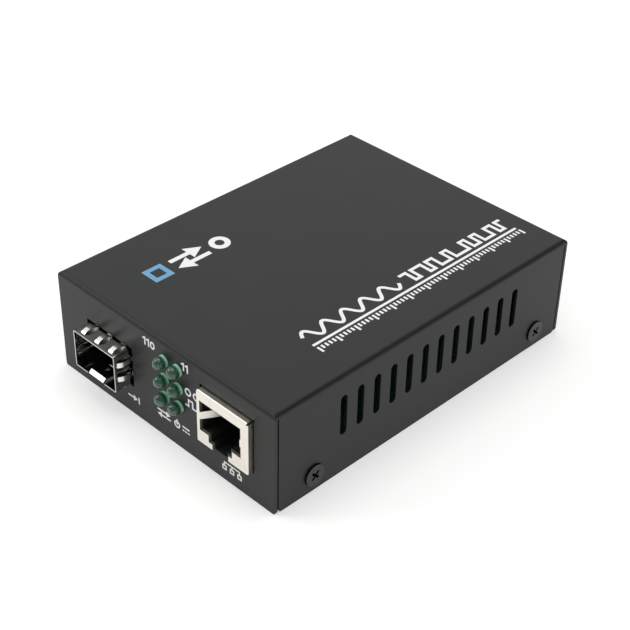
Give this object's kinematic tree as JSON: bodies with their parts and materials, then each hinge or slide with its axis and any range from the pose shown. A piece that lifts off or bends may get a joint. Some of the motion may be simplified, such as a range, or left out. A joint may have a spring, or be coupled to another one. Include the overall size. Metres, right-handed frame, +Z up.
{
  "type": "fibre media converter",
  "caption": "Small black steel box that joins a copper network cable to a pluggable fibre module, with status lamps between its two ports, side vents and a low-voltage inlet behind.",
  "frame": {"origin": "centre of the bottom face of the case", "axes": "+Z up, +X to the right as seen from the ports, +Y from the ports to the back"},
  "size_m": [0.072, 0.0993, 0.0264],
  "materials": {
    "case_paint": "fine-grained black powder coat",
    "screw_black": "black zinc plate",
    "zinc_steel": "bright zinc plate",
    "board_laminate": "green solder mask on glass epoxy",
    "nickel_cage": "nickel plate, dulled",
    "nickel_spring": "bright nickel plate",
    "nickel_shield": "nickel plate, satin",
    "black_moulding": "glass-filled nylon, matt",
    "gold_contact": "gold plate",
    "lamp_lens": "tinted diffused epoxy",
    "tinned_lead": "tin plate",
    "chip_moulding": "moulded epoxy",
    "can_metal": "drawn can, satin",
    "ferrite": "sintered ferrite",
    "ceramic": "fired ceramic"
  },
  "bodies": {
    "root": {"cover": "case_paint", "base_plate": "case_paint", "cover_screws": "screw_black", "standoffs": "zinc_steel", "board_screws": "zinc_steel", "circuit_board": "board_laminate", "sfp_cage": "nickel_cage", "sfp_ground_springs": "nickel_spring", "sfp_connector": "black_moulding", "sfp_contacts": "gold_contact", "jack_shield": "nickel_shield", "jack_housing": "black_moulding", "jack_contacts": "gold_contact", "led_holder": "black_moulding", "led_leads": "tinned_lead", "transformer": "chip_moulding", "converter_chip": "chip_moulding", "converter_chip_leads": "tinned_lead", "crystal": "can_metal", "memory_chip": "chip_moulding", "power_socket_housing": "black_moulding", "power_socket_pin": "nickel_spring", "power_socket_spring": "nickel_spring", "protection_diode": "chip_moulding", "supply_fuse": "ceramic", "supply_capacitors": "can_metal", "power_inductor": "ferrite", "supply_regulator": "chip_moulding", "led_lower_left": "lamp_lens", "led_lower_right": "lamp_lens", "led_middle_left": "lamp_lens", "led_middle_right": "lamp_lens", "led_upper_left": "lamp_lens", "led_upper_right": "lamp_lens"}
  },
  "joints": []
}
